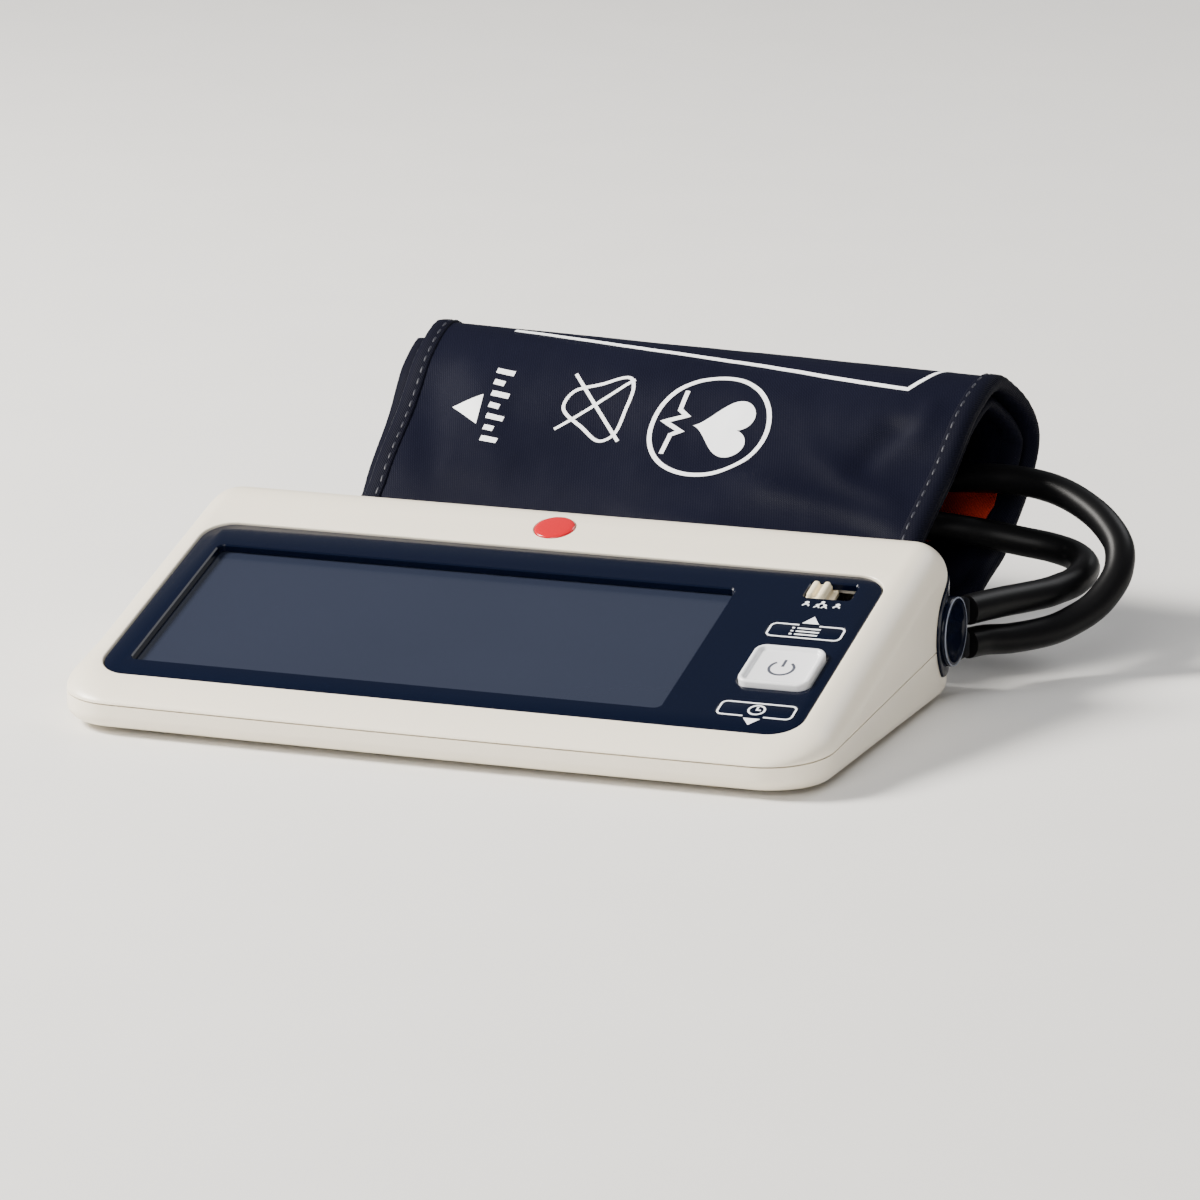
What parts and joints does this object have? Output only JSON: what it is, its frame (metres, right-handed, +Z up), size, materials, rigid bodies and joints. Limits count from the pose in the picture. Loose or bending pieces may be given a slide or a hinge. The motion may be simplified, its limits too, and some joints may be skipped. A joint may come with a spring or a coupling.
{
  "type": "blood pressure monitor with arm cuff",
  "caption": "Wedge-shaped desktop blood pressure monitor with a sloping display panel, keys and a side air port, joined by twin rubber hoses to its rolled fabric arm cuff",
  "frame": {"origin": "middle of the footprint of the monitor and the rolled cuff, on the surface they stand on", "axes": "+X to the right of the display, +Y from the display towards the cuff, +Z up"},
  "size_m": [0.2051, 0.1914, 0.0588],
  "materials": {
    "housing_cream": "satin moulded plastic",
    "panel_navy": "polished navy",
    "window_glass": "clear tinted window",
    "button_white": "satin pale grey",
    "knob_ivory": "ivory",
    "badge_red": "domed gloss",
    "foot_rubber": "matte",
    "hose_rubber": "satin black",
    "board_green": "glass-fibre board",
    "black_plastic": "moulded black",
    "steel": "plated",
    "cell_wrap": "printed sleeve, no label",
    "lcd_grey": "display glass",
    "cuff_nylon": "navy nylon twill",
    "binding_tape": "woven edge tape",
    "bladder": "thin sheet",
    "lining_red": "brushed lining",
    "hook_tape": "hook fastener"
  },
  "bodies": {
    "monitor": {"air_socket": "black_plastic", "badge": "badge_red", "battery_1": "cell_wrap", "battery_2": "cell_wrap", "battery_3": "cell_wrap", "battery_4": "cell_wrap", "battery_spring_1": "steel", "battery_spring_2": "steel", "buzzer": "black_plastic", "case_screw_1": "steel", "case_screw_2": "steel", "case_screw_3": "steel", "case_screw_4": "steel", "contact_plate_left": "steel", "contact_plate_right": "steel", "display_panel": "panel_navy", "display_window": "window_glass", "foot_1": "foot_rubber", "foot_2": "foot_rubber", "foot_3": "foot_rubber", "foot_4": "foot_rubber", "lcd_carrier": "black_plastic", "lcd_panel": "lcd_grey", "lower_housing": "housing_cream", "main_board": "board_green", "memory_switch": "steel", "port_bezel": "panel_navy", "power_jack": "black_plastic", "pressure_sensor": "steel", "processor": "black_plastic", "pump_head": "black_plastic", "pump_hose": "foot_rubber", "pump_motor": "steel", "release_valve": "steel", "selector_switch": "steel", "set_switch": "steel", "start_switch": "steel", "upper_housing": "housing_cream", "valve_hose": "foot_rubber", "zebra_strip": "foot_rubber"},
    "start_button": {"start_stop_button": "button_white"},
    "memory_button": {"memory_key": "panel_navy"},
    "set_button": {"set_key": "panel_navy"},
    "selector": {"selector_knob": "knob_ivory"},
    "door": {"battery_door": "housing_cream"},
    "cuff": {"air_plug": "black_plastic", "plug_seal": "foot_rubber", "upper_hose": "hose_rubber", "lower_hose": "hose_rubber", "outer_wrap": "cuff_nylon", "outer_binding_left": "binding_tape", "outer_binding_right": "binding_tape", "air_bladder": "bladder", "inner_wrap": "cuff_nylon", "inner_binding_left": "binding_tape", "inner_binding_right": "binding_tape", "red_lining": "lining_red", "hook_patch": "hook_tape"}
  },
  "joints": [
    {"name": "start_press", "type": "slide", "parent": "monitor", "child": "start_button", "axis": [0, 0.2957, -0.9553], "range_m": [0, 0.0009], "stiffness_N_per_m": 400},
    {"name": "memory_press", "type": "slide", "parent": "monitor", "child": "memory_button", "axis": [0, 0.2957, -0.9553], "range_m": [0, 0.0005], "stiffness_N_per_m": 400},
    {"name": "set_press", "type": "slide", "parent": "monitor", "child": "set_button", "axis": [0, 0.2957, -0.9553], "range_m": [0, 0.0005], "stiffness_N_per_m": 400},
    {"name": "selector_slide", "type": "slide", "parent": "monitor", "child": "selector", "axis": [1, 0, 0], "range_m": [0, 0.0056]},
    {"name": "door_slide", "type": "slide", "parent": "monitor", "child": "door", "axis": [0, 1, 0], "range_m": [0, 0.006]},
    {"name": "plug_pull", "type": "slide", "parent": "monitor", "child": "cuff", "axis": [1, 0, 0], "range_m": [0, 0.02]}
  ]
}
